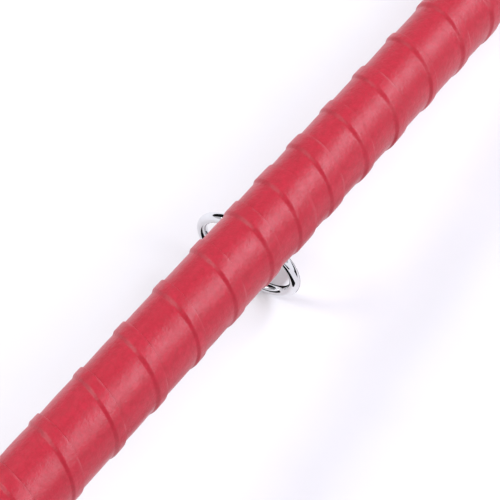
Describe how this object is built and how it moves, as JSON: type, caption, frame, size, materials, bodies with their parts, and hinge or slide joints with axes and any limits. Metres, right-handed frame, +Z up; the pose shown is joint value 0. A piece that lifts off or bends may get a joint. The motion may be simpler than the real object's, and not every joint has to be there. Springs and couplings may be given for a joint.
{
  "type": "devil stick",
  "caption": "Straight round baton wrapped in a spiral leatherette strip, with a chrome ring hanging from a screw eye under its middle.",
  "frame": {"origin": "the baton's axis at its mid-length, where the screw eye's shank points", "axes": "+X along the baton to its far end, +Z up, with the ring hanging below"},
  "size_m": [0.62, 0.0397, 0.0596],
  "materials": {
    "wrap": "satin red leatherette strip, 0.8 mm, wound with an overlap",
    "bright_metal": "polished chrome plate",
    "tube": "drawn aluminium tube",
    "underlay": "thin closed-cell foam rubber",
    "dowel": "plain turned beech",
    "steel": "zinc-plated steel",
    "binding": "woven cloth tape",
    "cap_rubber": "moulded black rubber"
  },
  "bodies": {
    "baton": {"core_tube": "tube", "centre_block": "dowel", "underlay_sleeve": "underlay", "wrap_strip": "wrap", "screw_eye": "bright_metal", "eye_washer": "bright_metal", "near_plug": "dowel", "far_plug": "dowel", "near_plug_pin": "steel", "far_plug_pin": "steel", "near_binding": "binding", "far_binding": "binding", "near_ferrule": "bright_metal", "far_ferrule": "bright_metal", "near_cap": "cap_rubber", "far_cap": "cap_rubber", "near_cap_washer": "steel", "far_cap_washer": "steel", "near_cap_screw": "steel", "far_cap_screw": "steel"},
    "ring": {"hanging_ring": "bright_metal"}
  },
  "joints": [
    {"name": "ring_swing", "type": "hinge", "parent": "baton", "child": "ring", "pos_m": [0.00036, 0.01138, -0.01887], "axis": [0.9911, 0.0519, 0.1227], "range_deg": [-30, 90]}
  ]
}
